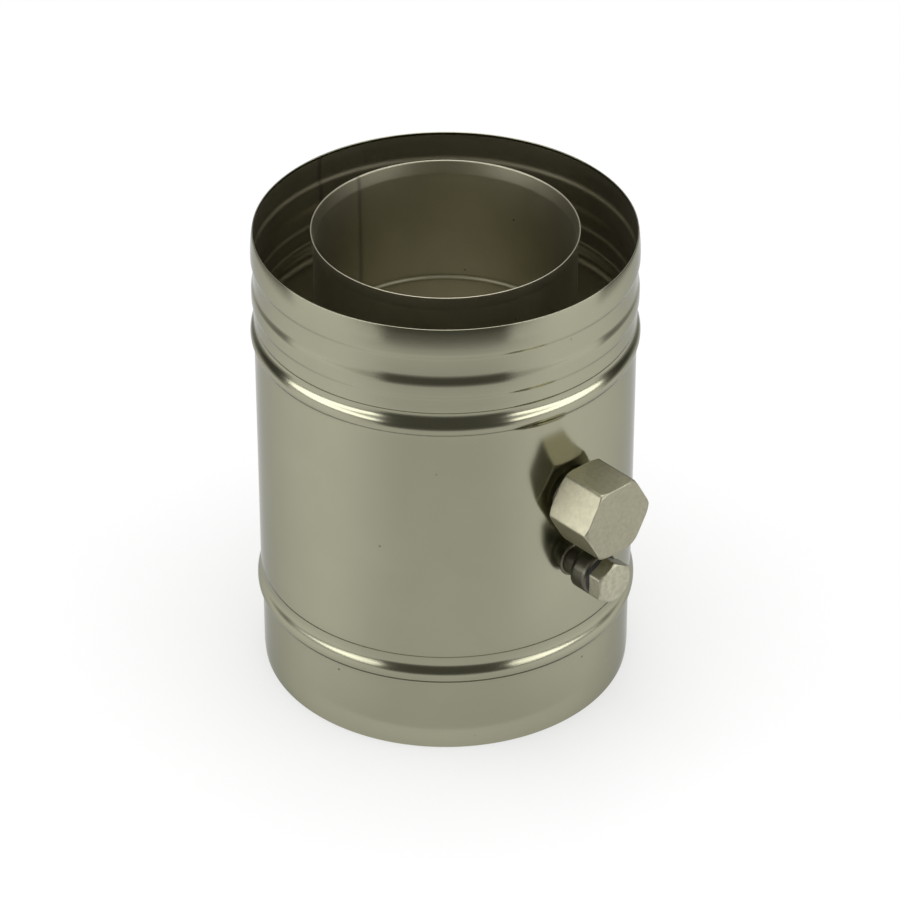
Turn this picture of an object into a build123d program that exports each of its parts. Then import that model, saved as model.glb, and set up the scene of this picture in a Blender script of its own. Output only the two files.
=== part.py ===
from build123d import *
from math import degrees, radians, sqrt, tan
import os

# Concentric flue test section, standing on its spigot end, with its test points towards +X.
# All sizes are in millimetres. The radii of both pipes are outside radii.

# Both pipes
section_height = 196.0
sheet = 0.5
lead_in = 0.25
lead_in_length = 4.0

# Outer pipe: spigot, lower bead and lower groove, from the spigot end up
outer_radius = 75.0
spigot_drop = 0.6
spigot_length = 31.0
bead_rise = 1.4
lower_bead_lower_flank = 4.5
lower_bead_upper_flank = 7.0
lower_groove_depth = 0.6
lower_groove_run_out = 4.0

# Outer pipe: socket, from the rim down. A spigot slides through the guide groove to the stop groove.
rim_curl = 0.6
rim_curl_length = 6.5
collar_rise = 0.65
collar_length = 6.0
guide_clearance = 0.15
guide_entry = 4.5
guide_width = 3.0
guide_run_out = 5.0
land_length = 8.5
stop_overlap = 0.4
stop_entry = 4.5
stop_to_bead = 6.5
upper_bead_run_out = 4.3

# Inner pipe: plain spigot below, socket above
inner_radius = 50.5
inner_socket_clearance = 0.4
inner_socket_depth = 53.0
inner_step_length = 5.0
inner_flare = 0.9
inner_flare_length = 6.5

# Both test points
weld_gap = 0.05
thread_clearance = 0.08
hex_chamfer_angle = 30.0

# Flue test point: threaded sleeve, gasket and hex cap
flue_test_height = 109.0
sleeve_radius = 10.4775
sleeve_bore = 8.0
sleeve_reach = 17.5
sleeve_chamfer = 1.0
gasket_thickness = 1.5
gasket_inset = 0.5
cap_flats = 30.0
cap_corner_cut = 1.7
cap_pipe_gap = 2.7
cap_top = 5.0
cap_mouth_chamfer = 1.0

# Air test point: saddle-cut boss, seal and hex-head screw
test_point_spacing = 30.0
boss_radius = 8.8
boss_reach = 15.3
boss_neck_radius = 6.3
boss_neck_length = 6.5
boss_chamfer = 0.8
screw_radius = 5.0
screw_length = 16.0
screw_tip_chamfer = 1.0
seal_thickness = 1.5
seal_radius = 8.2
seal_clearance = 0.25
head_flats = 16.0
head_height = 6.4
head_corner_cut = 1.6
head_turn = 30.0

# Spacer clips: bent strips between the pipes
clip_azimuths = (60.0, 180.0, 300.0)
clip_height = 96.0
clip_width = 20.0
clip_sheet = 0.8
clip_seat = 0.05
clip_crown = 14.0
clip_span = 26.0
clip_foot = 8.0
clip_bend = 2.0

# Places that follow from the sizes above
spigot_radius = outer_radius - spigot_drop
outer_bore = outer_radius - sheet
inner_bore = inner_radius - sheet
inner_socket_radius = inner_radius + inner_socket_clearance + sheet
sleeve_end = outer_radius + sleeve_reach
gasket_end = sleeve_end + gasket_thickness
air_test_height = flue_test_height - test_point_spacing
boss_end = outer_radius + boss_reach
seal_end = boss_end + seal_thickness


def climb(height, radius, bands, way):
    """Stations (height, radius) along a wall, one band after the other, going up (1) or down (-1)."""
    stations = [(height, radius)]
    for length, band_radius in bands:
        height += way * length
        stations.append((height, band_radius))
    return stations


def outer_stations():
    """Stations of the outer pipe: spigot end to the body, then the body to the rim."""
    bead_radius = outer_radius + bead_rise
    collar_radius = outer_radius + collar_rise
    guide_radius = spigot_radius + guide_clearance + sheet
    stop_radius = spigot_radius - stop_overlap + sheet
    lower_bands = [
        (lead_in_length, spigot_radius),
        (spigot_length - lead_in_length, spigot_radius),
        (lower_bead_lower_flank, bead_radius),
        (lower_bead_upper_flank, outer_radius - lower_groove_depth),
        (lower_groove_run_out, outer_radius),
    ]
    upper_bands = [
        (rim_curl_length, collar_radius),
        (collar_length, collar_radius),
        (guide_entry, guide_radius),
        (guide_width, guide_radius),
        (guide_run_out, collar_radius),
        (land_length, collar_radius),
        (stop_entry, stop_radius),
        (stop_to_bead, bead_radius),
        (upper_bead_run_out, outer_radius),
    ]
    lower = climb(0.0, spigot_radius - lead_in, lower_bands, 1)
    upper = climb(section_height, collar_radius - rim_curl, upper_bands, -1)
    return lower + upper[::-1]


def inner_stations():
    """Stations of the inner pipe: plain spigot, step, socket and flared rim."""
    socket_bands = [
        (inner_flare_length, inner_socket_radius),
        (inner_socket_depth - inner_flare_length, inner_socket_radius),
        (inner_step_length, inner_radius),
    ]
    lower = climb(0.0, inner_radius - lead_in, [(lead_in_length, inner_radius)], 1)
    upper = climb(section_height, inner_socket_radius + inner_flare, socket_bands, -1)
    return lower + upper[::-1]


def wall_edges(low, high):
    """The edges between two stations: a straight run, or two arcs that leave both stations upright."""
    (low_z, low_r), (high_z, high_r) = low, high
    start = Vector(low_r, 0, low_z)
    end = Vector(high_r, 0, high_z)
    if low_r == high_r:
        return [Line(start, end)]
    middle = (start + end) / 2
    return [TangentArc(start, middle, tangent=(0, 0, 1)), TangentArc(end, middle, tangent=(0, 0, -1))]


def rim_edge(low, high):
    """The edge of the last band: one arc that leaves the wall upright and leans over to the rim."""
    (low_z, low_r), (high_z, high_r) = low, high
    return TangentArc((low_r, 0, low_z), (high_r, 0, high_z), tangent=(0, 0, 1))


def rolled_pipe(stations):
    """A sheet pipe turned from its stations, with its seam at the back."""
    *bands, rim_band = zip(stations, stations[1:])
    outside = [edge for low, high in bands for edge in wall_edges(low, high)]
    outside.append(rim_edge(*rim_band))
    inside = [Pos(-sheet, 0, 0) * edge for edge in outside]
    ends = [Line((r, 0, z), (r - sheet, 0, z)) for z, r in (stations[0], stations[-1])]
    section = make_face(outside + inside + ends)
    return Rot(0, 0, 180) * revolve(section, Axis.Z)


def rod(radius, start, end, height):
    """A round bar along +X, from start to end, at a height above the spigot end."""
    along_x = Pos(start, 0, height) * Rot(0, 90, 0)
    return along_x * Cylinder(radius, end - start, align=(Align.CENTER, Align.CENTER, Align.MIN))


def ring(outside, inside, start, end, height):
    """A round bar along +X with a hole through it."""
    return rod(outside, start, end, height) - rod(inside, start, end, height)


def upright(radius):
    """A solid column on the pipes' axis, as tall as the section."""
    return Cylinder(radius, section_height, align=(Align.CENTER, Align.CENTER, Align.MIN))


def end_circles(bar):
    """The circles at the two ends of a plain bar along +X, the inner one first."""
    return bar.edges().filter_by(GeomType.CIRCLE).sort_by(Axis.X)


def hex_bar(flats, corner_cut, start, end, height, inner_chamfer, turn=0.0):
    """A hexagonal bar along +X, its corners turned off at the outer end. Flats are above and below at turn 0."""
    corner = flats / sqrt(3)
    face_circle = corner - corner_cut
    fall = corner_cut * tan(radians(hex_chamfer_angle))
    outline = [(end, 0), (end, face_circle), (end - fall, corner)]
    if inner_chamfer:
        outline += [(start + fall, corner), (start, face_circle), (start, 0)]
    else:
        outline += [(start, corner), (start, 0)]
    turned = revolve(make_face(Polyline(*outline, close=True)), Axis.X)
    hexagon = RegularPolygon(flats / 2, 6, major_radius=False, rotation=turn)
    prism = extrude(Plane.YZ.offset(start) * hexagon, end - start)
    return Pos(0, 0, height) * (prism & turned)


def outer_pipe():
    """The outer wall, pierced for the sleeve and for the air sample."""
    wall = rolled_pipe(outer_stations())
    wall -= rod(sleeve_radius + weld_gap, 0, sleeve_end, flue_test_height)
    return wall - rod(screw_radius + thread_clearance, 0, boss_end, air_test_height)


def inner_pipe():
    """The inner wall, pierced for the sleeve."""
    return rolled_pipe(inner_stations()) - rod(sleeve_radius + weld_gap, 0, sleeve_end, flue_test_height)


def flue_test_socket():
    """The threaded sleeve, from the inside of the inner pipe out to the gasket."""
    sleeve = rod(sleeve_radius, 0, sleeve_end, flue_test_height)
    sleeve = chamfer(end_circles(sleeve)[-1], sleeve_chamfer)
    sleeve -= rod(sleeve_bore, 0, sleeve_end, flue_test_height)
    return sleeve - upright(inner_bore)


def cap_gasket():
    """The flat ring between the sleeve's end and the bottom of the cap."""
    return ring(sleeve_radius - gasket_inset, sleeve_bore, sleeve_end, gasket_end, flue_test_height)


def flue_test_cap():
    """The hex cap, screwed over the sleeve."""
    start = outer_radius + cap_pipe_gap
    bore = sleeve_radius + thread_clearance
    cap = hex_bar(cap_flats, cap_corner_cut, start, gasket_end + cap_top, flue_test_height, True)
    cap -= rod(bore, start, gasket_end, flue_test_height)
    mouth = Cone(bore + cap_mouth_chamfer, bore, cap_mouth_chamfer, align=(Align.CENTER, Align.CENTER, Align.MIN))
    return cap - Pos(start, 0, flue_test_height) * Rot(0, 90, 0) * mouth


def air_test_boss():
    """The round boss for the screw, its narrower neck cut to sit on the outer pipe."""
    shoulder = outer_radius + boss_neck_length
    boss = rod(boss_radius, shoulder, boss_end, air_test_height)
    boss = chamfer(end_circles(boss), boss_chamfer)
    boss += rod(boss_neck_radius, 0, boss_end, air_test_height)
    boss -= rod(screw_radius + thread_clearance, 0, boss_end, air_test_height)
    return boss - upright(outer_radius + weld_gap)


def screw_seal():
    """The sealing washer under the screw's head."""
    return ring(seal_radius, screw_radius + seal_clearance, boss_end, seal_end, air_test_height)


def air_test_screw():
    """The hex-head screw that closes the air sample hole."""
    shank = rod(screw_radius, seal_end - screw_length, seal_end, air_test_height)
    shank = chamfer(end_circles(shank)[0], screw_tip_chamfer)
    head_end = seal_end + head_height
    head = hex_bar(head_flats, head_corner_cut, seal_end, head_end, air_test_height, False, head_turn)
    return shank + head


def arc_angle(length, radius):
    """The angle in degrees that an arc of a given length takes."""
    return degrees(length / radius)


def polar(radius, angle):
    """A point in plan at a radius and an angle in degrees."""
    return Vector(radius, 0).rotate(Axis.Z, angle)


def spacer_clip(azimuth):
    """A strip bent to a hat shape in plan: feet on the inner pipe, crown against the outer pipe."""
    foot_radius = inner_radius + clip_seat
    crown_radius = outer_bore - clip_seat - clip_sheet
    crown_angle = arc_angle(clip_crown / 2, crown_radius)
    bend_angle = arc_angle(clip_span / 2, foot_radius)
    foot_angle = arc_angle(clip_foot, foot_radius)
    bends = [
        polar(foot_radius, -bend_angle),
        polar(crown_radius, -crown_angle),
        polar(crown_radius, crown_angle),
        polar(foot_radius, bend_angle),
    ]
    path = Wire([
        CenterArc((0, 0), foot_radius, -bend_angle - foot_angle, foot_angle),
        Line(bends[0], bends[1]),
        CenterArc((0, 0), crown_radius, -crown_angle, 2 * crown_angle),
        Line(bends[2], bends[3]),
        CenterArc((0, 0), foot_radius, bend_angle, foot_angle),
    ])
    path = path.fillet_2d(clip_bend, [Vertex(*bend) for bend in bends])
    strip = path.offset_2d(clip_sheet, side=Side.RIGHT, closed=True)
    clip = extrude(Face(strip), clip_width, dir=(0, 0, 1))
    return Rot(0, 0, azimuth) * Pos(0, 0, clip_height - clip_width / 2) * clip


pieces = {
    "outer_pipe": outer_pipe(),
    "inner_pipe": inner_pipe(),
    "flue_test_socket": flue_test_socket(),
    "cap_gasket": cap_gasket(),
    "flue_test_cap": flue_test_cap(),
    "air_test_boss": air_test_boss(),
    "screw_seal": screw_seal(),
    "air_test_screw": air_test_screw(),
}
for number, azimuth in enumerate(clip_azimuths, start=1):
    pieces[f"spacer_clip_{number}"] = spacer_clip(azimuth)

os.makedirs("parts", exist_ok=True)
for name, piece in pieces.items():
    export_step(piece, f"parts/{name}.step")
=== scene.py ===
"""Dresses the concentric flue test section: rolled pipes, hex cap, test screw, welds and a plain studio.

All sizes in the classes are millimetres in the part's own frame, and turn into metres when a mesh is made.
"""

import logging
import math
from dataclasses import dataclass, field, replace
from enum import Enum

import bmesh
import bpy
import numpy as np
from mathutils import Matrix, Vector

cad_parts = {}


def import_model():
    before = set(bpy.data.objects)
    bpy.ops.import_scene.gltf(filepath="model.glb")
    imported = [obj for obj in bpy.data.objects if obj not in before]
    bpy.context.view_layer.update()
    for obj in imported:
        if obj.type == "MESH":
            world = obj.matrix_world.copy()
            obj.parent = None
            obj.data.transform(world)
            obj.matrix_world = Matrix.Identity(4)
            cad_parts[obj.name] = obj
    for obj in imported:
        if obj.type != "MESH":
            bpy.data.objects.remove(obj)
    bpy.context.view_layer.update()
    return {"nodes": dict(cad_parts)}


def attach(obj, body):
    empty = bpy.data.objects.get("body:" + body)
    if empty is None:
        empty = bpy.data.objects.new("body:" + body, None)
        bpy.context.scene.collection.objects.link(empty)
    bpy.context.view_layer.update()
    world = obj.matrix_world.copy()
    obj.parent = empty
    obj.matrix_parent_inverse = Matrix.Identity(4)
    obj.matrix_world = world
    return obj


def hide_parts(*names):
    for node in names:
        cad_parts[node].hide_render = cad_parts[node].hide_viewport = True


LOG = logging.getLogger("flue_test_section")
MM = 0.001
FULL_TURN = 2.0 * math.pi
UV_PER_MM = 0.01
CHAMFER_ROWS = 4
UNDERSIDE_ROWS = 5
STRAIGHT_ROWS = 6
PIPE_BODY = "pipe"
TURNED_SLOT = "turned_steel"
DULL_MARK = "dull_mark"
WHITE = (1.0, 1.0, 1.0, 1.0)
EDGE_TINT = (0.6, 0.6, 0.6, 1.0)

# Metres: points this near each other are one, and edges this short are taken out
MERGE_REACH = 1e-8
SLIVER_REACH = 1e-9

# Sizes that several sub-assemblies share
SECTION_HEIGHT = 196.0
OUTER_RADIUS = 75.0
INNER_RADIUS = 50.5
SHEET = 0.5
INNER_BORE = INNER_RADIUS - SHEET

Array = np.ndarray
Block = tuple[Array, Array]
Colour = tuple[float, float, float]
Material = bpy.types.Material
Socket = bpy.types.NodeSocket
Pair = tuple[float, float]
Station = tuple[float, float]
Span = tuple[Station, Station]


class Grain(Enum):
    """The way a steel's fine marks run: the coordinates that they follow and how closely they lie."""

    AROUND = ("UV", (1.0, 40.0, 1.0))
    ALONG = ("UV", (40.0, 1.0, 1.0))
    EVEN = ("Object", (60.0, 60.0, 60.0))


class ThreadSide(Enum):
    """Whether a thread is cut into the outside of a bar or the inside of a hole."""

    OUTSIDE = -1.0
    INSIDE = 1.0


def smooth_min(first: Array, second: Array, width: float) -> Array:
    """The lesser of two arrays, with a round blend of a given width where they cross.

    Args:
        first: Any array.
        second: An array that broadcasts with the first.
        width: How far from the crossing the blend starts.

    Returns:
        The blended lesser values.
    """
    share = np.clip(0.5 + 0.5 * (second - first) / width, 0.0, 1.0)
    return second + (first - second) * share - width * share * (1.0 - share)


def bell(distance: Array, width: float) -> Array:
    """A bump of height 1 at distance 0 that falls away over a width, as exp of minus the square."""
    return np.exp(-((distance / width) ** 2))


def shares(count: int) -> Array:
    """Even shares from 0 to 1, as one row."""
    return np.linspace(0.0, 1.0, count)[None, :]


def mesh_object(name: str, vertices: Array, faces: Array, corner_uv: Array, side: Array | None = None,
                dull: Array | None = None) -> bpy.types.Object:
    """Puts arrays into a new smooth mesh object at the origin.

    Args:
        name: The piece's name.
        vertices: Points in millimetres, one row each.
        faces: Four vertex numbers per row.
        corner_uv: Two numbers for each corner of each face.
        side: The number of each face's finish, or None where there is one.
        dull: How dull each point is, from 0 to 1, or None where none is.

    Returns:
        The new object, linked to the scene.
    """
    mesh = bpy.data.meshes.new(name)
    mesh.from_pydata((vertices * MM).tolist(), [], faces.tolist())
    if side is not None:
        mesh.polygons.foreach_set("material_index", side.astype(np.int32).ravel())
    if dull is not None:
        mark = mesh.attributes.new(DULL_MARK, "FLOAT", "POINT")
        mark.data.foreach_set("value", dull.astype(np.float32).ravel())
    layer = mesh.uv_layers.new(name="unrolled")
    layer.data.foreach_set("uv", corner_uv.astype(np.float32).ravel())
    work = bmesh.new()
    work.from_mesh(mesh)
    bmesh.ops.remove_doubles(work, verts=work.verts, dist=MERGE_REACH)
    bmesh.ops.dissolve_degenerate(work, edges=work.edges, dist=SLIVER_REACH)
    work.to_mesh(mesh)
    work.free()
    mesh.shade_smooth()
    piece = bpy.data.objects.new(name, mesh)
    bpy.context.scene.collection.objects.link(piece)
    return piece


def grid_object(name: str, points: Array, closed: bool, keep: Array | None = None,
                side: Array | None = None, dull: Array | None = None) -> bpy.types.Object:
    """Makes a surface from a grid of points that closes round its first parameter.

    The unrolled map takes the longest arc of each step round and the mean arc of each step along, so that
    patterns keep their scale.

    Args:
        name: The piece's name.
        points: Millimetres, by column round the axis, row along the profile and coordinate.
        closed: Whether the last row joins the first.
        keep: Which faces stay, by column and row, or None for all.
        side: The number of each face's finish, by column and row, or None where there is one.
        dull: How dull each point is, by column and row, or None where none is.

    Returns:
        The new object, with its faces pointing outwards.
    """
    columns, rows = points.shape[:2]
    steps = rows if closed else rows - 1
    column, row = np.meshgrid(np.arange(columns), np.arange(steps), indexing="ij")
    corner_columns = np.stack([column, column + 1, column + 1, column], axis=-1)
    corner_rows = np.stack([row, row, row + 1, row + 1], axis=-1)
    faces = (corner_columns % columns) * rows + corner_rows % rows
    ring = np.concatenate([points, points[:1]], axis=0)
    loop = np.concatenate([points, points[:, :1]], axis=1)
    around = np.linalg.norm(np.diff(ring, axis=0), axis=2).max(axis=1)
    along = np.linalg.norm(np.diff(loop, axis=1), axis=2).mean(axis=0)
    u = np.concatenate([[0.0], np.cumsum(around)]) * UV_PER_MM
    v = np.concatenate([[0.0], np.cumsum(along)]) * UV_PER_MM
    corner_uv = np.stack([u[corner_columns], v[corner_rows]], axis=-1)
    if keep is not None:
        faces = faces[keep]
        corner_uv = corner_uv[keep]
        side = None if side is None else side[keep]
    faces = faces.reshape(-1, 4)
    corner_uv = corner_uv.reshape(-1, 4, 2)
    flat = points.reshape(-1, 3)
    a, b, c, d = (flat[faces[:, corner]] for corner in range(4))
    if np.sum(a * np.cross(b, c)) + np.sum(a * np.cross(c, d)) < 0.0:
        faces = faces[:, ::-1]
        corner_uv = corner_uv[:, ::-1]
    return mesh_object(name, flat, faces, corner_uv, side, dull)


class Graph:
    """A material's nodes, with short calls to add and join them."""

    def __init__(self, name: str) -> None:
        """Starts an empty material.

        Args:
            name: The material's name.
        """
        self.target = bpy.data.materials.new(name)
        self.target.use_nodes = True
        self.tree = self.target.node_tree
        self.tree.nodes.clear()

    def add(self, kind: str, options: dict[str, str] | None = None, **inputs: object) -> bpy.types.Node:
        """Adds a node and fills its inputs.

        Args:
            kind: The node's type, without its ShaderNode prefix.
            options: Attributes of the node itself.
            inputs: Values, or sockets to link, by input name with underscores for spaces, or by an
                underscore and the input's place where names repeat.

        Returns:
            The new node.
        """
        node = self.tree.nodes.new("ShaderNode" + kind)
        for key, value in (options or {}).items():
            setattr(node, key, value)
        for key, value in inputs.items():
            socket = node.inputs[int(key[1:])] if key[0] == "_" else node.inputs[key.replace("_", " ")]
            if isinstance(value, Socket):
                self.tree.links.new(value, socket)
            else:
                socket.default_value = value
        return node

    def math(self, operation: str, *values: object) -> Socket:
        """Adds a Math node on up to three values or sockets and gives its result."""
        inputs = {f"_{place}": value for place, value in enumerate(values)}
        return self.add("Math", {"operation": operation}, **inputs).outputs[0]

    def spread(self, value: Socket, low: float, high: float) -> Socket:
        """Maps a socket from 0..1 to low..high."""
        return self.add("MapRange", Value=value, To_Min=low, To_Max=high).outputs[0]

    def tinted(self, tint: Colour, shade: Socket) -> Socket:
        """Multiplies a tint by a shade; a Mix node's colours are its inputs 6 and 7 and its output 2."""
        options = {"data_type": "RGBA", "blend_type": "MULTIPLY"}
        return self.add("Mix", options, Factor=1.0, _6=(*tint, 1.0), _7=shade).outputs[2]

    def output(self, shader: Socket) -> Material:
        """Joins a shader to the material's output and gives the material."""
        self.add("OutputMaterial", Surface=shader)
        return self.target


@dataclass(frozen=True)
class Finish:
    """A finish with a name and a tint, whose material is built once."""

    name: str
    tint: Colour

    def material(self) -> Material:
        """Gives the finish's material, which the first call builds."""
        known = bpy.data.materials.get(self.name)
        return self.build(Graph(self.name)) if known is None else known

    def build(self, graph: Graph) -> Material:
        """Joins the nodes of the finish; each kind of finish has its own."""
        raise NotImplementedError


@dataclass(frozen=True)
class SteelFinish(Finish):
    """Stainless steel: a gloss, fine marks that run one way, soft smudges and a few specks."""

    gloss: Pair
    grain: Grain
    grain_scale: float = 8.0
    grain_depth: float = 0.02
    grain_reach: float = 0.5
    smudge_scale: float = 28.0
    smudge_dark: float = 0.93
    speck_share: float = 0.035
    speck_core: float = 0.6
    speck_ratio: float = 2.0
    speck_dark: float = 0.45
    dull_share: float = 0.65

    def specks(self, graph: Graph, place: Socket) -> Socket:
        """A shade of 1 with a small dark dot in each cell.

        Args:
            graph: The material's nodes.
            place: The coordinates that the cells lie in.

        Returns:
            The shade's socket.
        """
        cell_scale = self.smudge_scale * self.speck_ratio
        cells = graph.add("TexVoronoi", Vector=place, Scale=cell_scale, Randomness=1.0)
        core = self.speck_share * self.speck_core
        dots = graph.add("MapRange", Value=cells.outputs["Distance"], From_Min=core,
                         From_Max=self.speck_share, To_Min=self.speck_dark, To_Max=1.0)
        return dots.outputs[0]

    def build(self, graph: Graph) -> Material:
        """Joins the steel's nodes: marks and smudges share its roughness, and the marks lift its surface.

        Args:
            graph: The empty material's nodes.

        Returns:
            The finished material.
        """
        places = graph.add("TexCoord").outputs
        way, closeness = self.grain.value
        laid = graph.add("Mapping", Vector=places[way], Scale=closeness).outputs[0]
        marks = graph.add("TexNoise", Vector=laid, Scale=self.grain_scale, Detail=6.0,
                          Roughness=0.6).outputs[0]
        smudge = graph.add("TexNoise", Vector=places["Object"], Scale=self.smudge_scale, Detail=4.0,
                           Roughness=0.55, Distortion=0.4).outputs[0]
        level = graph.spread(smudge, self.smudge_dark, 2.0 - self.smudge_dark)
        dull = graph.add("Attribute", {"attribute_name": DULL_MARK}).outputs["Fac"]
        shade = graph.math("MULTIPLY", level, self.specks(graph, places["Object"]))
        shade = graph.math("MULTIPLY", shade, graph.spread(dull, 1.0, self.dull_share))
        mixed = graph.math("MULTIPLY_ADD", marks, 0.5, graph.math("MULTIPLY", smudge, 0.5))
        bump = graph.add("Bump", Height=marks, Strength=self.grain_depth, Distance=self.grain_reach * MM)
        shader = graph.add("BsdfPrincipled", Base_Color=graph.tinted(self.tint, shade), Metallic=1.0,
                           Roughness=graph.spread(mixed, *self.gloss), Specular_Tint=EDGE_TINT,
                           Normal=bump.outputs[0])
        return graph.output(shader.outputs[0])


@dataclass(frozen=True)
class RubberFinish(Finish):
    """Dark sealing rubber with a dull, finely mottled skin."""

    skin_scale: float = 900.0
    skin_depth: float = 0.25
    skin_reach: float = 0.3
    mottle: Pair = (0.7, 1.3)
    gloss: Pair = (0.55, 0.8)

    def build(self, graph: Graph) -> Material:
        """Joins the rubber's nodes: one fine noise gives its mottling, its roughness and its skin.

        Args:
            graph: The empty material's nodes.

        Returns:
            The finished material.
        """
        place = graph.add("TexCoord").outputs["Object"]
        skin = graph.add("TexNoise", Vector=place, Scale=self.skin_scale, Detail=4.0).outputs[0]
        colour = graph.tinted(self.tint, graph.spread(skin, *self.mottle))
        bump = graph.add("Bump", Height=skin, Strength=self.skin_depth, Distance=self.skin_reach * MM)
        shader = graph.add("BsdfPrincipled", Base_Color=colour, Roughness=graph.spread(skin, *self.gloss),
                           Normal=bump.outputs[0])
        return graph.output(shader.outputs[0])


BRIGHT_SHEET = SteelFinish("bright_sheet_steel", (0.352, 0.346, 0.254), (0.12, 0.21), Grain.AROUND)
MATT_SHEET = SteelFinish("matt_sheet_steel", (0.53, 0.505, 0.389), (0.3, 0.44), Grain.AROUND,
                         smudge_dark=0.86)
CLIP_SHEET = SteelFinish("clip_sheet_steel", (0.49, 0.47, 0.36), (0.2, 0.34), Grain.EVEN,
                         grain_depth=0.1)
TURNED = SteelFinish("lathe_turned_steel", (0.39, 0.37, 0.28), (0.26, 0.42), Grain.AROUND,
                     grain_scale=20.0, grain_depth=0.06)
# The boss's darker copy of the turned steel is painted shade, for the cap's shadow and the dark reflections
# under the cap.
BOSS_PAINTED_SHADE = replace(TURNED, name="boss_steel_painted_shade", tint=(0.14, 0.135, 0.103))
BRUSHED_CAP = SteelFinish("brushed_cap_steel", (0.53, 0.508, 0.375), (0.24, 0.42), Grain.ALONG,
                          grain_scale=16.0, grain_depth=0.2, smudge_scale=620.0, smudge_dark=0.76)
FORGED_SCREW = SteelFinish("forged_screw_steel", (0.433, 0.42, 0.317), (0.26, 0.46), Grain.EVEN,
                           grain_scale=30.0, grain_depth=0.3, smudge_scale=480.0, smudge_dark=0.6)
WELD_METAL = SteelFinish("weld_metal", (0.175, 0.165, 0.123), (0.28, 0.45), Grain.EVEN,
                         grain_scale=40.0, grain_depth=0.2)
SEAL_RUBBER = RubberFinish("dark_seal_rubber", (0.022, 0.021, 0.02))


def fit_piece(piece: bpy.types.Object, body: str, slot: str, finishes: list[Finish], *nodes: str) -> None:
    """Gives a piece its finishes, its body and the nodes that it stands for.

    Args:
        piece: The finished mesh object.
        body: The body that it rides on.
        slot: Not used.
        finishes: One finish for each number of a face's side.
        nodes: The nodes that it replaces.
    """
    for finish in finishes:
        piece.data.materials.append(finish.material())
    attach(piece, body)
    if nodes:
        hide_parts(*nodes)
    LOG.info("%s rides on %s with %d faces", piece.name, body, len(piece.data.polygons))


@dataclass(frozen=True)
class RoundPort:
    """A round opening through a pipe wall towards +X."""

    height: float
    radius: float


@dataclass(frozen=True)
class OuterProfile:
    """Radii of the outer wall: spigot, lower bead and groove, body, upper bead and socket grooves."""

    body: float = OUTER_RADIUS
    spigot: float = 74.4
    spigot_lead: float = 0.25
    bead: float = 76.4
    groove: float = 74.4
    stop: float = 74.5
    guide: float = 74.85
    collar: float = 75.65
    rim_lean: float = 0.8

    def stations(self) -> list[Station]:
        """The wall's stations, spigot first; the upper ones are measured down from the rim.

        Returns:
            Pairs of a height and an outside radius.
        """
        spigot_end = [(0.0, self.spigot - self.spigot_lead), (4.0, self.spigot), (31.0, self.spigot)]
        lower_bead = [(35.5, self.bead), (42.2, self.groove), (43.6, self.groove), (46.0, self.body)]
        upper_bead = [(48.8, self.body), (44.5, self.bead), (38.0, self.stop), (36.2, self.body)]
        socket = [(31.4, self.body), (28.6, self.collar), (25.2, self.collar), (20.0, self.guide)]
        rim = [(14.0, self.guide), (10.8, self.collar), (10.0, self.collar)]
        rim.append((0.0, self.collar - self.rim_lean))
        raised = [(SECTION_HEIGHT - depth, radius) for depth, radius in upper_bead + socket + rim]
        return spigot_end + lower_bead + raised


@dataclass(frozen=True)
class InnerProfile:
    """Radii of the inner wall: plain spigot, step, socket and flared rim."""

    body: float = INNER_RADIUS
    spigot_lead: float = 0.25
    socket: float = 51.4
    rim: float = 52.3

    def stations(self) -> list[Station]:
        """The wall's stations, spigot first; the upper ones are measured down from the rim.

        Returns:
            Pairs of a height and an outside radius.
        """
        spigot_end = [(0.0, self.body - self.spigot_lead), (4.0, self.body)]
        socket = [(54.6, self.body), (51.8, self.socket), (6.5, self.socket), (0.0, self.rim)]
        return spigot_end + [(SECTION_HEIGHT - depth, radius) for depth, radius in socket]


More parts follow.
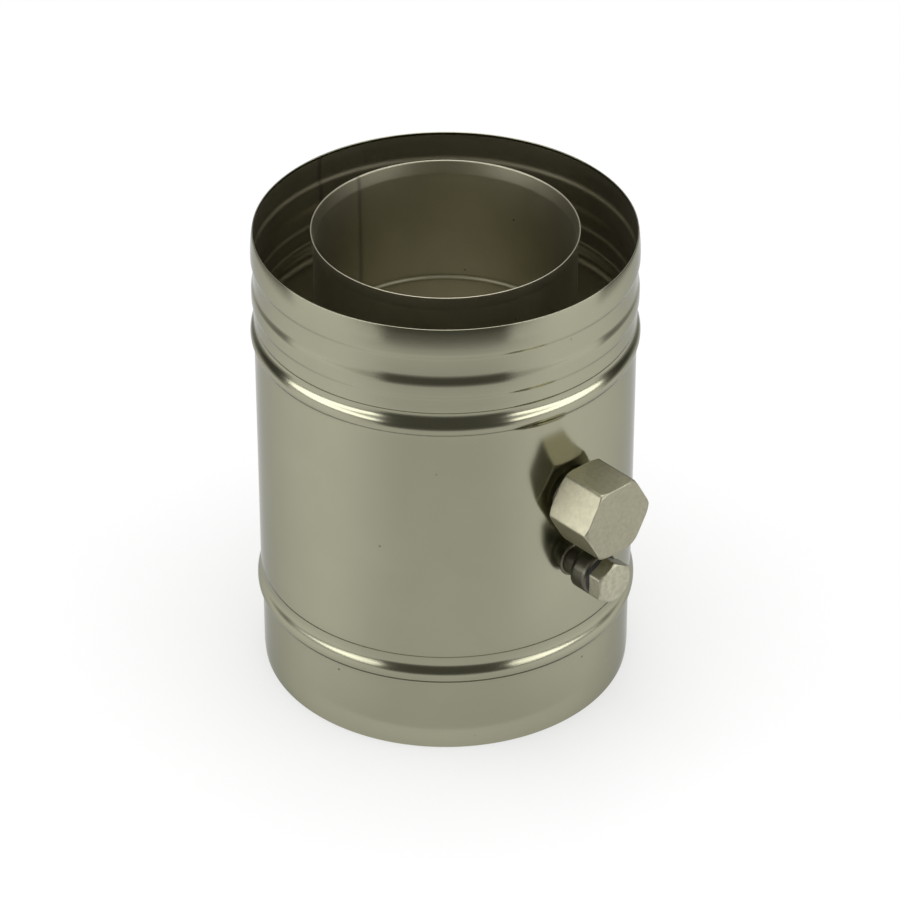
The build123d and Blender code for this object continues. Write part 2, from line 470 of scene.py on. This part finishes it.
@dataclass
class RolledPipe:
    """A sheet pipe turned from stations (height, outside radius), with rolled grooves and a welded seam.

    The seam's angle and margin are in radians.
    """

    name: str
    slot: str
    outside: SteelFinish
    inside: SteelFinish
    stations: list[Station]
    ports: list[RoundPort]
    sheet: float = SHEET
    columns: int = 216
    flank_rows: int = 9
    lip_rows: int = 7
    straight_step: float = 2.6
    port_step: float = 0.9
    port_margin: float = 2.0
    port_reach: float = 14.0
    port_columns: int = 40
    seam_columns: int = 21
    seam_angle: float = 0.04
    seam_margin: float = 0.005
    seam_height: float = 0.1
    seam_width: float = 1.0
    ripple: float = 0.02
    ripple_waves: float = 5.0
    ripple_length: float = 23.0
    ripple_start: Pair = (0.7, 0.4)
    rim_bend: float = 1.0

    def angles(self) -> Array:
        """Angles round the pipe, closer together at the ports and at the seam opposite them.

        Returns:
            The angles in rising order.
        """
        wide = np.linspace(-math.pi, math.pi, self.columns, endpoint=False)
        half = math.asin(self.port_reach / self.stations[0][1])
        ports = np.linspace(-half, half, self.port_columns)
        seam = np.linspace(-self.seam_angle, self.seam_angle, self.seam_columns) + math.pi
        seam_start = math.pi - self.seam_angle - self.seam_margin
        apart = (np.abs(wide) > half) & (np.abs(wide) < seam_start)
        return np.sort(np.concatenate([wide[apart], ports, seam]))

    def rows(self, span: Span) -> Array:
        """Heights between two stations: even on a flank, and closer on a straight run beside a port.

        Args:
            span: The lower and the upper station.

        Returns:
            The heights, from the lower station to just short of the upper one.
        """
        (low_z, low_r), (high_z, high_r) = span
        if low_r != high_r:
            return np.linspace(low_z, high_z, self.flank_rows)[:-1]
        count = max(2, int((high_z - low_z) / self.straight_step))
        even = np.linspace(low_z, high_z, count, endpoint=False)
        for port in self.ports:
            reach = port.radius + self.port_margin
            inside = np.arange(port.height - reach, port.height + reach, self.port_step)
            inside = inside[(inside > low_z) & (inside < high_z)]
            if inside.size:
                even = np.concatenate([even[np.abs(even - port.height) > reach], inside])
        return np.sort(even)

    @staticmethod
    def flank(heights: Array, span: Span) -> Array:
        """Radius along an S of two equal arcs that leave both stations upright.

        An arc over the run h and the rise d has the radius (h*h + d*d) / (2*d); each covers half the flank.

        Args:
            heights: Heights between the stations.
            span: The lower and the upper station.

        Returns:
            The outside radius at each height.
        """
        (low_z, low_r), (high_z, high_r) = span
        run = (high_z - low_z) / 2.0
        rise = (high_r - low_r) / 2.0
        way = math.copysign(1.0, rise)
        arc = (run * run + rise * rise) / (2.0 * abs(rise))
        start = arc - np.sqrt(arc**2 - np.minimum(heights - low_z, run) ** 2)
        end = arc - np.sqrt(arc**2 - np.minimum(high_z - heights, run) ** 2)
        return np.where(heights - low_z <= run, low_r + way * start, high_r - way * end)

    def lean(self, heights: Array, span: Span) -> Array:
        """Radius along the leaning rim: a parabola over its bend and a straight cone from there on.

        Args:
            heights: Heights between the stations.
            span: The station where the bend starts, upright, and the rim's own.

        Returns:
            The outside radius at each height.
        """
        (low_z, low_r), (high_z, high_r) = span
        run = high_z - low_z
        bend = self.rim_bend * run
        slope = (high_r - low_r) / (run - bend / 2.0)
        above = heights - low_z
        return low_r + slope * np.where(above < bend, above**2 / (2.0 * bend), above - bend / 2.0)

    def band(self, span: Span) -> Block:
        """The outside between two stations: straight, along a flank, or along the rim's lean.

        Args:
            span: The lower and the upper station.

        Returns:
            The heights and the outside radii.
        """
        low, high = span
        heights = self.rows(span)
        if low[1] == high[1]:
            return heights, np.full_like(heights, low[1])
        if high == self.stations[-1]:
            return heights, self.lean(heights, span)
        return heights, self.flank(heights, span)

    def profile(self) -> tuple[Array, Array, Array]:
        """The closed outline of the wall: up the outside, over the rim, down the inside and round the end.

        Returns:
            Each point's radius, its height, and its side: 1 outside, -1 inside and 0 on the rolled ends.
        """
        bands = [self.band(span) for span in zip(self.stations, self.stations[1:])]
        top_z, top_r = self.stations[-1]
        z = np.concatenate([heights for heights, _ in bands] + [[top_z]])
        r = np.concatenate([radii for _, radii in bands] + [[top_r]])
        lip = self.sheet / 2.0
        turn = np.linspace(0.0, math.pi, self.lip_rows)
        rim_r = r[-1] - lip + lip * np.cos(turn)
        rim_z = z[-1] - lip + lip * np.sin(turn)
        end_r = r[0] - lip - lip * np.cos(turn)
        end_z = z[0] + lip - lip * np.sin(turn)
        wall_z = z[1:-1]
        wall_r = r[1:-1]
        loop_r = np.concatenate([wall_r, rim_r, wall_r[::-1] - self.sheet, end_r])
        loop_z = np.concatenate([wall_z, rim_z, wall_z[::-1], end_z])
        wall = np.ones_like(wall_r)
        outward = np.concatenate([wall, np.zeros_like(turn), -wall, np.zeros_like(turn)])
        return loop_r, loop_z, outward

    def surface(self) -> tuple[Array, Array, Array]:
        """The profile turned about the axis.

        The radius gains a welded ridge opposite the ports and a faint roll waviness, the product of a slow
        wave round the pipe and one along it.

        Returns:
            The points, how dull each is beside the seam, and the side of each of the profile's points.
        """
        loop_r, loop_z, outward = self.profile()
        angle = self.angles()[:, None]
        from_seam = (math.pi - np.abs(((angle + math.pi) % FULL_TURN) - math.pi)) * loop_r
        dull = bell(from_seam, self.seam_width)
        ridge = self.seam_height * dull * outward
        round_start, along_start = self.ripple_start
        round_wave = np.sin(self.ripple_waves * angle + round_start)
        along_wave = np.sin(loop_z / self.ripple_length + along_start)
        radius = loop_r + ridge + self.ripple * round_wave * along_wave
        points = np.stack([radius * np.cos(angle), radius * np.sin(angle), loop_z + 0.0 * angle], axis=-1)
        return points, dull, outward

    def openings(self, points: Array) -> Array:
        """Which faces of the closed grid lie clear of every port.

        Args:
            points: The wall's points, by column and row.

        Returns:
            True for each face that stays, by column and row.
        """
        ring = np.concatenate([points, points[:1]], axis=0)
        loop = np.concatenate([ring, ring[:, :1]], axis=1)
        middle = (loop[:-1, :-1] + loop[1:, :-1] + loop[1:, 1:] + loop[:-1, 1:]) / 4.0
        clear = np.ones(middle.shape[:2], dtype=bool)
        for port in self.ports:
            off_axis = np.hypot(middle[..., 1], middle[..., 2] - port.height)
            clear &= (off_axis > port.radius) | (middle[..., 0] < 0.0)
        return clear

    def build(self) -> None:
        """Makes the wall and dresses it, with one finish outside and one inside."""
        points, dull, outward = self.surface()
        side = np.broadcast_to(outward < 0.0, points.shape[:2])
        pipe = grid_object(self.name + "_wall", points, True, self.openings(points), side, dull)
        fit_piece(pipe, PIPE_BODY, self.slot, [self.outside, self.inside], self.name)


@dataclass(frozen=True)
class Thread:
    """A right-hand thread: its crest or hole radius, its pitch and depth, and how far its ends run out."""

    radius: float
    pitch: float
    depth: float
    fade: float
    side: ThreadSide
    sharpness: float = 0.8


@dataclass
class TurnedPiece:
    """A piece carried round an axis along +X: blocks of (distance along X, radius) by angle and row."""

    name: str
    body: str
    slot: str
    finish: Finish
    height: float
    columns: int = 144

    def turn(self) -> Array:
        """Angles round the axis as a column, from straight up."""
        return np.linspace(0.0, FULL_TURN, self.columns, endpoint=False)[:, None]

    def block(self, along: float | Array, radius: float | Array) -> Block:
        """Broadcasts a distance and a radius to one (angle, row) block."""
        x, r, _ = np.broadcast_arrays(np.asarray(along, float), np.asarray(radius, float), self.turn())
        return x, r

    def helix(self, along: Array, thread: Thread) -> Block:
        """A threaded stretch: the radius falls or rises by a rounded V of the distance less the turn's lead.

        Args:
            along: Distances along the axis, as one row.
            thread: The thread that is cut.

        Returns:
            The block of the stretch.
        """
        phase = along / thread.pitch - self.turn() / FULL_TURN
        wave = 0.5 - 0.5 * np.cos(FULL_TURN * phase)
        ends = np.minimum(along - along.min(), along.max() - along) / thread.fade
        cut = thread.depth * wave**thread.sharpness * np.clip(ends, 0.0, 1.0)
        return self.block(along, thread.radius + thread.side.value * cut)

    def saddle(self, pipe_radius: float, radius: float) -> Array:
        """Distance along X at which a circle of a given radius meets an upright pipe."""
        return np.sqrt(pipe_radius**2 - (radius * np.sin(self.turn())) ** 2)

    def dullness(self, along: Array, radius: Array) -> Array:
        """How dull each point is: not at all, unless a kind of piece says otherwise."""
        return np.zeros_like(along * radius)

    def make(self, blocks: list[Block], closed: bool, *nodes: str) -> None:
        """Joins blocks into one surface, turns it about the axis and dresses it.

        Args:
            blocks: The stretches of the outline, in order.
            closed: Whether the last stretch joins the first.
            nodes: The nodes that the piece replaces.
        """
        x = np.concatenate([along for along, _ in blocks], axis=1)
        r = np.concatenate([radius for _, radius in blocks], axis=1)
        turn = self.turn()
        points = np.stack([x, r * np.sin(turn), self.height + r * np.cos(turn)], axis=-1)
        piece = grid_object(self.name, points, closed, dull=self.dullness(x, r))
        fit_piece(piece, self.body, self.slot, [self.finish], *nodes)


@dataclass
class WeldRing(TurnedPiece):
    """A round weld bead where a turned piece meets an upright pipe, with the ripples of its pool."""

    ring_radius: float = 10.5
    pipe_radius: float = OUTER_RADIUS
    leg: float = 1.1
    ripples: int = 46
    ripple_share: float = 0.07
    ripple_slant: float = 2.0
    tube_rows: int = 16

    def build(self) -> None:
        """Makes a ring tube whose centre follows the saddle line and whose leg swells with each ripple."""
        around = np.linspace(0.0, FULL_TURN, self.tube_rows, endpoint=False)[None, :]
        ripple = np.sin(self.ripples * self.turn() + self.ripple_slant * np.cos(around))
        leg = self.leg * (1.0 + self.ripple_share * ripple)
        x = self.saddle(self.pipe_radius, self.ring_radius) + leg * np.cos(around)
        r = self.ring_radius + leg * np.sin(around)
        self.make([self.block(x, r)], True)


@dataclass
class HexPiece(TurnedPiece):
    """A turned piece with a hexagonal stretch, whose corners are turned off at 30 degrees."""

    flats: float = 30.0
    corner_cut: float = 1.7
    corner_worn: float = 0.2
    edge: float = 0.35
    blend: float = 0.35
    chamfer_angle: float = 30.0
    head_turn: float = 0.0
    dull_from: float = math.inf
    dull_depth: float = 0.3
    edge_reach: float = 2.2
    edge_rows: int = 12
    edge_crowd: float = 1.6
    side_rows: int = 12
    face_rows: int = 11
    face_edge: Pair = (0.99, 0.97)
    columns: int = 480

    def corner(self) -> float:
        """Radius of the hexagon's sharp corners."""
        return self.flats / math.sqrt(3.0)

    def hexagon(self) -> Array:
        """Radius of the hexagon: half the flats over the cosine of the angle from the nearest flat.

        Returns:
            The radius at each angle, as a column.
        """
        sixth = FULL_TURN / 6.0
        from_flat = (self.turn() - math.radians(self.head_turn) + sixth / 2.0) % sixth - sixth / 2.0
        sharp = self.flats / 2.0 / np.cos(from_flat)
        return smooth_min(sharp, np.full_like(sharp, self.corner() - self.corner_worn), self.blend)

    def dullness(self, along: Array, radius: Array) -> Array:
        """1 where metal is turned off the hexagon beyond dull_from, 0 on its flats."""
        return np.clip((self.hexagon() - radius) / self.dull_depth, 0.0, 1.0) * (along > self.dull_from)

    def sides(self, start: float, end: float, chamfer_start: bool) -> Block:
        """The hexagon's sides between two places along X.

        The radius is the lesser of the hexagon and a cone at each chamfered end, less a small round at the
        edge.

        Args:
            start: Where the inner face is.
            end: Where the outer face is.
            chamfer_start: Whether the inner corners are turned off too.

        Returns:
            The block of the sides, from start to end.
        """
        fine = np.linspace(0.0, 1.0, self.edge_rows) ** self.edge_crowd * self.edge_reach
        middle = np.linspace(start + self.edge_reach, end - self.edge_reach, self.side_rows + 2)[1:-1]
        x = np.concatenate([start + fine, middle, end - fine[::-1]])[None, :]
        face_circle = self.corner() - self.corner_cut
        slope = 1.0 / math.tan(math.radians(self.chamfer_angle))
        radius = smooth_min(self.hexagon() + 0.0 * x, face_circle + (end - x) * slope, self.blend)
        if chamfer_start:
            radius = smooth_min(radius, face_circle + (x - start) * slope, self.blend)
        for distance in (x - start, end - x):
            lack = np.clip(self.edge - distance, 0.0, self.edge)
            radius = radius - (self.edge - np.sqrt(self.edge**2 - lack**2))
        return self.block(x, radius)

    def face(self, x: float, rim: Array) -> Block:
        """A flat face from a rim's radius in to the axis, with one row close to the rim."""
        share = np.concatenate([self.face_edge[:1], np.linspace(self.face_edge[1], 0.0, self.face_rows)])
        return self.block(x, rim[:, None] * share[None, :])


@dataclass
class FlueTestPoint:
    """The upper test point: threaded sleeve in a port through both pipes, its welds and its hex cap."""

    port: RoundPort = RoundPort(height=109.0, radius=9.4)
    sleeve_radius: float = 10.4775
    sleeve_bore: float = 8.0
    sleeve_end: float = 92.5
    sleeve_chamfer: float = 1.0
    sleeve_columns: int = 120
    wall_rows: int = 8
    bore_rows: int = 12
    thread_rows: int = 84
    plain_reach: float = 2.0
    thread_gap: float = 0.3
    pitch: float = 1.814
    thread_depth: float = 1.16
    thread_fade: float = 1.5
    clearance: float = 0.08
    weld_columns: int = 276
    gasket_end: float = 94.0
    cap_start: float = 77.7
    cap_end: float = 99.0
    cap_flats: float = 30.0
    cap_thread_gap: float = 1.5
    cap_thread_depth: float = 0.5
    cap_thread_rows: int = 70
    mouth: float = 1.0
    dull_reach: float = 2.2

    def sleeve(self) -> None:
        """The sleeve: saddle-cut at the inner pipe, plain through the gap, threaded outside."""
        piece = TurnedPiece("test_sleeve", PIPE_BODY, TURNED_SLOT, TURNED, self.port.height,
                            self.sleeve_columns)
        start = piece.saddle(INNER_BORE, self.sleeve_radius)
        bore_start = piece.saddle(INNER_BORE, self.sleeve_bore)
        plain_end = OUTER_RADIUS + self.plain_reach
        thread_end = self.sleeve_end - self.sleeve_chamfer
        along = np.linspace(plain_end + self.thread_gap, thread_end, self.thread_rows)[None, :]
        thread = Thread(self.sleeve_radius, self.pitch, self.thread_depth, self.thread_fade,
                        ThreadSide.OUTSIDE)
        chamfer = self.sleeve_chamfer * shares(CHAMFER_ROWS)[:, 1:]
        bore = shares(self.bore_rows) * (bore_start - self.sleeve_end)
        piece.make([
            piece.block(start + (plain_end - start) * shares(self.wall_rows), self.sleeve_radius),
            piece.helix(along, thread),
            piece.block(thread_end + chamfer, self.sleeve_radius - chamfer),
            piece.block(self.sleeve_end + bore, self.sleeve_bore),
        ], True, "flue_test_socket")

    def welds(self) -> None:
        """The beads on the outer pipe and on the inner pipe, round the sleeve."""
        beads = {"sleeve_outer_weld": OUTER_RADIUS, "sleeve_inner_weld": INNER_RADIUS}
        for name, pipe_radius in beads.items():
            WeldRing(name, PIPE_BODY, TURNED_SLOT, WELD_METAL, self.port.height, self.weld_columns,
                     self.sleeve_radius, pipe_radius).build()

    def cap(self) -> None:
        """The cap: blind threaded hole, chamfered mouth, hexagonal sides and a plain face."""
        cap = HexPiece("hex_cap", "flue_test_cap", "cap_steel", BRUSHED_CAP, self.port.height,
                       flats=self.cap_flats, dull_from=self.cap_end - self.dull_reach)
        bore = self.sleeve_radius + self.clearance
        mouth_radius = bore + self.mouth
        sides = cap.sides(self.cap_start, self.cap_end, True)
        side_radius = sides[1]
        mouth_end = self.cap_start + self.mouth
        thread_start = self.gasket_end - self.cap_thread_gap
        along = np.linspace(thread_start, mouth_end, self.cap_thread_rows)[None, :]
        thread = Thread(bore, self.pitch, self.cap_thread_depth, self.thread_fade, ThreadSide.INSIDE)
        mouth = self.mouth * shares(CHAMFER_ROWS)[:, 1:]
        underside = (side_radius[:, :1] - mouth_radius) * shares(UNDERSIDE_ROWS)[:, 1:-1]
        cap.make([
            cap.block(self.gasket_end, shares(STRAIGHT_ROWS) * bore),
            cap.helix(along, thread),
            cap.block(mouth_end - mouth, bore + mouth),
            cap.block(self.cap_start, mouth_radius + underside),
            sides,
            cap.face(self.cap_end, side_radius[:, -1]),
        ], False, "flue_test_cap")

    def build(self) -> None:
        """Makes the sleeve, its welds and its cap."""
        self.sleeve()
        self.welds()
        self.cap()


@dataclass
class AirTestPoint:
    """The lower test point: saddle-cut boss over a port in the outer pipe, its weld and its hex screw."""

    port: RoundPort = RoundPort(height=79.0, radius=5.6)
    neck_radius: float = 6.3
    shoulder: float = 81.5
    boss_radius: float = 8.8
    boss_end: float = 90.3
    boss_columns: int = 120
    bore_rows: int = 8
    chamfer: float = 0.8
    bore: float = 5.08
    weld_leg: float = 0.9
    weld_ripples: int = 32
    weld_columns: int = 192
    seal_end: float = 91.8
    screw_radius: float = 5.0
    screw_length: float = 16.0
    screw_columns: int = 288
    tip_chamfer: float = 1.0
    thread_rows: int = 96
    pitch: float = 1.5
    thread_depth: float = 0.9
    thread_fade: float = 1.2
    thread_gap: float = 0.2
    head_end: float = 98.2
    head_flats: float = 16.0
    head_corner_cut: float = 1.6
    head_edge: float = 0.25
    head_turn: float = 30.0

    def boss(self) -> None:
        """The boss: neck from the pipe, shoulder, chamfered body and bore."""
        # The boss's finish is turned steel darkened with painted shade, for the shadow under the cap.
        piece = TurnedPiece("screw_boss", PIPE_BODY, TURNED_SLOT, BOSS_PAINTED_SHADE, self.port.height,
                            self.boss_columns)
        start = piece.saddle(OUTER_RADIUS, self.neck_radius)
        bore_start = piece.saddle(OUTER_RADIUS, self.bore)
        body_start = self.shoulder + self.chamfer
        body_end = self.boss_end - self.chamfer
        chamfer = self.chamfer * shares(CHAMFER_ROWS)
        neck = shares(STRAIGHT_ROWS) * (self.shoulder - start)
        body = np.linspace(body_start, body_end, STRAIGHT_ROWS)[None, 1:-1]
        bore = shares(self.bore_rows) * (bore_start - self.boss_end)
        piece.make([
            piece.block(start + neck, self.neck_radius),
            piece.block(self.shoulder + chamfer, self.boss_radius - self.chamfer + chamfer),
            piece.block(body, self.boss_radius),
            piece.block(body_end + chamfer, self.boss_radius - chamfer),
            piece.block(self.boss_end + bore, self.bore),
        ], True, "air_test_boss")

    def weld(self) -> None:
        """The bead on the outer pipe, round the boss's neck."""
        WeldRing("boss_weld", PIPE_BODY, TURNED_SLOT, WELD_METAL, self.port.height, self.weld_columns,
                 self.neck_radius, OUTER_RADIUS, self.weld_leg, self.weld_ripples).build()

    def screw(self) -> None:
        """The screw in one surface: tip, thread, underside of the head, hexagonal sides and face."""
        screw = HexPiece("test_screw", "air_test_screw", "screw_steel", FORGED_SCREW, self.port.height,
                         self.screw_columns, flats=self.head_flats, corner_cut=self.head_corner_cut,
                         edge=self.head_edge, blend=self.head_edge, head_turn=self.head_turn)
        tip = self.seal_end - self.screw_length
        tip_radius = self.screw_radius - self.tip_chamfer
        sides = screw.sides(self.seal_end, self.head_end, False)
        side_radius = sides[1]
        chamfer = self.tip_chamfer * shares(CHAMFER_ROWS)[:, 1:]
        thread_end = self.seal_end - self.thread_gap
        along = np.linspace(tip + self.tip_chamfer, thread_end, self.thread_rows)[None, 1:]
        thread = Thread(self.screw_radius, self.pitch, self.thread_depth, self.thread_fade,
                        ThreadSide.OUTSIDE)
        underside = (side_radius[:, :1] - self.screw_radius) * shares(UNDERSIDE_ROWS)[:, :-1]
        screw.make([
            screw.block(tip, tip_radius * shares(CHAMFER_ROWS)),
            screw.block(tip + chamfer, tip_radius + chamfer),
            screw.helix(along, thread),
            screw.block(self.seal_end, self.screw_radius + underside),
            sides,
            screw.face(self.head_end, side_radius[:, -1]),
        ], False, "air_test_screw")

    def build(self) -> None:
        """Makes the boss, its weld and its screw."""
        self.boss()
        self.weld()
        self.screw()


@dataclass
class KeptNodes:
    """The plain pieces whose solids are shown as they are, with a finish of their own."""

    finishes: dict[str, Finish] = field(default_factory=lambda: {
        "spacer_clip_1": CLIP_SHEET,
        "spacer_clip_2": CLIP_SHEET,
        "spacer_clip_3": CLIP_SHEET,
        "cap_gasket": SEAL_RUBBER,
        "screw_seal": SEAL_RUBBER,
    })

    def dress(self, nodes: dict[str, bpy.types.Object]) -> None:
        """Puts each finish on its node.

        Args:
            nodes: The frame's nodes by name.
        """
        for name, finish in self.finishes.items():
            slots = nodes[name].data.materials
            slots.clear()
            slots.append(finish.material())
            LOG.info("%s keeps its solid, with %s", name, finish.name)


@dataclass(frozen=True)
class Flag:
    """A dark card bent round the object with soft edges, upright or lying, which only reflections see.

    Its edges are circles of a (reach, height). The share that it covers goes from low to high over the
    first part of its depth, which rise gives.
    """

    name: str
    bearing: float
    spread: float
    first: Pair
    last: Pair
    tone: float
    cover: Pair
    rise: float
    soft_side: float


@dataclass
class Studio:
    """A pale floor, soft boxes beside the camera and overhead, dark flags for the metal, and the camera."""

    azimuth: float = 48.0
    elevation: float = 33.77
    distance: float = 1671.0
    aim: tuple[float, float, float] = (1.17, 1.30, 92.5)
    lens: float = 167.2
    sensor: float = 36.0
    floor_radius: float = 9000.0
    floor_columns: int = 96
    floor_rows: int = 24
    floor_colour: Colour = (0.93, 0.93, 0.93)
    floor_white: float = 0.5
    box_bearing: float = 65.0
    box_distance: float = 1300.0
    box_size: Pair = (1450.0, 290.0)
    box_height: float = 370.0
    box_radiance: float = 2.8
    top_size: float = 1600.0
    top_height: float = 2000.0
    top_radiance: float = 2.55
    lamp_aim: float = 120.0
    room_level: float = 0.65
    card_columns: int = 48
    card_tint: Colour = (1.0, 0.97, 0.85)
    flags: tuple[Flag, ...] = (
        Flag("front_flag", 0.0, 37.0, (450.0, 0.0), (450.0, 700.0),
             tone=0.115, cover=(0.65, 1.0), rise=0.15, soft_side=0.2),
        Flag("low_front_flag", 0.0, 62.0, (470.0, 0.0), (470.0, 150.0),
             tone=0.12, cover=(0.25, 1.0), rise=1.0, soft_side=0.7),
        # The two lying floor flags are a painted shadow on the floor in front of the object, which only
        # reflections see.
        Flag("floor_flag", 0.0, 65.0, (85.0, 1.0), (365.0, 1.0),
             tone=0.08, cover=(0.21, 0.3), rise=1.0, soft_side=0.75),
        Flag("far_floor_flag", 0.0, 62.0, (365.0, 1.0), (450.0, 1.0),
             tone=0.08, cover=(0.29, 0.68), rise=1.0, soft_side=0.7),
        Flag("back_flag", 180.0, 94.0, (450.0, 0.0), (450.0, 330.0),
             tone=0.08, cover=(0.4, 1.0), rise=0.35, soft_side=0.1),
    )

    def direction(self, bearing: float, elevation: float) -> Vector:
        """A unit vector from the object, by degrees to the right of the camera and above the floor."""
        turn, rise = np.radians([self.azimuth + bearing, elevation])
        return Vector((math.sin(turn) * math.cos(rise), -math.cos(turn) * math.cos(rise), math.sin(rise)))

    def floor_paint(self) -> Material:
        """Pale dull paint, which the camera, metal and glass see part of the way to plain white.

        Returns:
            The finished material.
        """
        graph = Graph("pale_floor")
        pale = graph.add("BsdfPrincipled", Base_Color=(*self.floor_colour, 1.0), Roughness=0.6,
                         Specular_IOR_Level=0.0)
        ray = graph.add("LightPath").outputs
        seen = graph.math("MAXIMUM", ray["Is Camera Ray"], ray["Is Glossy Ray"])
        seen = graph.math("MAXIMUM", seen, ray["Is Transmission Ray"])
        white = graph.add("Emission", Color=WHITE, Strength=1.0)
        share = graph.math("MULTIPLY", seen, self.floor_white)
        paler = graph.add("MixShader", Fac=share, _1=pale.outputs[0], _2=white.outputs[0])
        return graph.output(paler.outputs[0])

    def floor(self) -> None:
        """A wide disc: circles whose reach grows as the square of their row."""
        turn = np.linspace(0.0, FULL_TURN, self.floor_columns, endpoint=False)[:, None]
        reach = self.floor_radius * shares(self.floor_rows) ** 2
        points = np.stack([reach * np.cos(turn), reach * np.sin(turn), 0.0 * reach * turn], axis=-1)
        floor = grid_object("studio_floor", points, False)
        floor.data.materials.append(self.floor_paint())

    def soft_box(self, name: str, place: Vector, size: Pair, radiance: float) -> None:
        """Adds a rectangular soft box that faces the object.

        Args:
            name: The lamp's name.
            place: Where it hangs.
            size: Its width and height.
            radiance: How bright its cloth looks, where 1 is white.
        """
        light = bpy.data.lights.new(name, "AREA")
        light.shape = "RECTANGLE"
        light.size, light.size_y = (length * MM for length in size)
        light.energy = radiance * math.pi * light.size * light.size_y
        lamp = bpy.data.objects.new(name, light)
        lamp.location = place * MM
        lamp.rotation_euler = (place - Vector((0.0, 0.0, self.lamp_aim))).to_track_quat("Z", "Y").to_euler()
        lamp.visible_camera = False
        bpy.context.scene.collection.objects.link(lamp)

    def lamps(self) -> None:
        """Two soft boxes beside the camera and a square one overhead."""
        lift = Vector((0.0, 0.0, self.box_height))
        for side, name in ((-1.0, "soft_box_left"), (1.0, "soft_box_right")):
            place = self.direction(side * self.box_bearing, 0.0) * self.box_distance + lift
            self.soft_box(name, place, self.box_size, self.box_radiance)
        overhead = Vector((0.0, 0.0, self.top_height))
        self.soft_box("soft_box_top", overhead, (self.top_size, self.top_size), self.top_radiance)

    def cloth(self, flag: Flag) -> Material:
        """A flag's cloth: an even dark tone that thins out to clear at its soft edges.

        Args:
            flag: The flag; its map runs from -1 to 1 across and from 0 to 1 along.

        Returns:
            The finished material.
        """
        graph = Graph(flag.name + "_cloth")
        place = graph.add("SeparateXYZ", Vector=graph.add("TexCoord").outputs["UV"]).outputs
        inward = graph.math("SUBTRACT", 1.0, graph.math("ABSOLUTE", place[0]))
        smooth = {"interpolation_type": "SMOOTHSTEP"}
        side = graph.add("MapRange", smooth, Value=inward, From_Max=flag.soft_side).outputs[0]
        low, high = flag.cover
        depth = graph.add("MapRange", Value=place[1], From_Max=flag.rise, To_Min=low, To_Max=high).outputs[0]
        dark = graph.add("Emission", Color=(*self.card_tint, 1.0), Strength=flag.tone)
        clear = graph.add("BsdfTransparent")
        share = graph.math("MULTIPLY", side, depth)
        cover = graph.add("MixShader", Fac=share, _1=clear.outputs[0], _2=dark.outputs[0])
        return graph.output(cover.outputs[0])

    def card(self, flag: Flag) -> None:
        """Makes a flag: part of a band between two circles round the object.

        Args:
            flag: The flag's place, size and looks.
        """
        count = self.card_columns
        across = np.linspace(-1.0, 1.0, count)
        turn = np.radians(self.azimuth + flag.bearing + flag.spread * across)
        ring = np.stack([np.sin(turn), -np.cos(turn), 0.0 * turn], axis=-1)
        edges = [reach * ring + np.array([0.0, 0.0, height]) for reach, height in (flag.first, flag.last)]
        quads = np.arange(count - 1)[:, None] + np.array([0, 1, count + 1, count])
        map_u = np.tile(across, 2)[quads]
        map_v = np.repeat([0.0, 1.0], count)[quads]
        card = mesh_object(flag.name, np.concatenate(edges), quads, np.stack([map_u, map_v], axis=-1))
        card.data.materials.append(self.cloth(flag))
        card.visible_camera = False
        card.visible_diffuse = False
        card.visible_shadow = False
        card.visible_transmission = False

    def world(self) -> None:
        """An even soft grey all round."""
        world = bpy.data.worlds.new("soft_room")
        world.use_nodes = True
        room = world.node_tree.nodes["Background"].inputs
        room["Color"].default_value = WHITE
        room["Strength"].default_value = self.room_level
        bpy.context.scene.world = world

    def camera(self) -> None:
        """The camera at the photograph's angle and lens."""
        data = bpy.data.cameras.new("photo_camera")
        data.sensor_width = self.sensor
        data.lens = self.lens
        camera = bpy.data.objects.new("photo_camera", data)
        back = self.direction(0.0, self.elevation)
        camera.location = (Vector(self.aim) + back * self.distance) * MM
        camera.rotation_euler = back.to_track_quat("Z", "Y").to_euler()
        bpy.context.scene.collection.objects.link(camera)
        bpy.context.scene.camera = camera

    def build(self) -> None:
        """Sets up the floor, the light, the flags and the camera."""
        bpy.context.scene.view_settings.view_transform = "Standard"
        self.floor()
        self.lamps()
        for flag in self.flags:
            self.card(flag)
        self.world()
        self.camera()


def main() -> None:
    """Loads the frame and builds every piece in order."""
    logging.basicConfig(level=logging.INFO, format="%(name)s: %(message)s")
    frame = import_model()
    flue_point = FlueTestPoint()
    air_point = AirTestPoint()
    RolledPipe("outer_pipe", "outer_steel", BRIGHT_SHEET, MATT_SHEET, OuterProfile().stations(),
               [flue_point.port, air_point.port]).build()
    RolledPipe("inner_pipe", "inner_steel", MATT_SHEET, MATT_SHEET, InnerProfile().stations(),
               [flue_point.port], flank_rows=25, rim_bend=0.2).build()
    flue_point.build()
    air_point.build()
    KeptNodes().dress(frame["nodes"])
    Studio().build()


if __name__ == "__main__":
    main()
